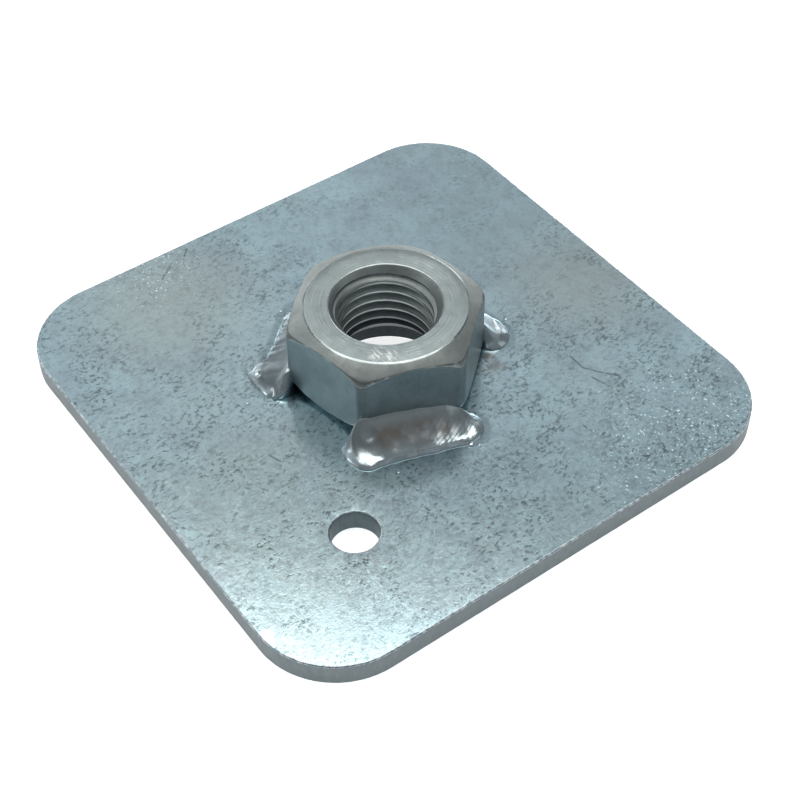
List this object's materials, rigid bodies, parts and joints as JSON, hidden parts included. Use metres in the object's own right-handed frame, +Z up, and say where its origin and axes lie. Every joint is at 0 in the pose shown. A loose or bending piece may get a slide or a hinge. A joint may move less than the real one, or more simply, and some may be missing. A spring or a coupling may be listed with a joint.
{
  "type": "plate nut",
  "caption": "Square steel backing plate with rounded corners, a small locating hole and a thick hexagon nut fillet-welded over a central bolt hole, for anchoring a threaded bolt.",
  "frame": {"origin": "centre of the plate's back face, on the nut's axis", "axes": "+Z up the nut's axis, away from the back face; +X and +Y along the plate's sides, with the locating hole towards +X and -Y"},
  "size_m": [0.06, 0.06, 0.0118],
  "materials": {
    "plate": "bright zinc plating, satin",
    "nut": "zinc-plated, turned faces",
    "weld": "zinc-plated weld metal, glossy"
  },
  "bodies": {
    "root": {"base_plate": "plate", "hex_nut": "nut", "weld_front": "weld", "weld_rear": "weld", "weld_left": "weld"}
  },
  "joints": []
}
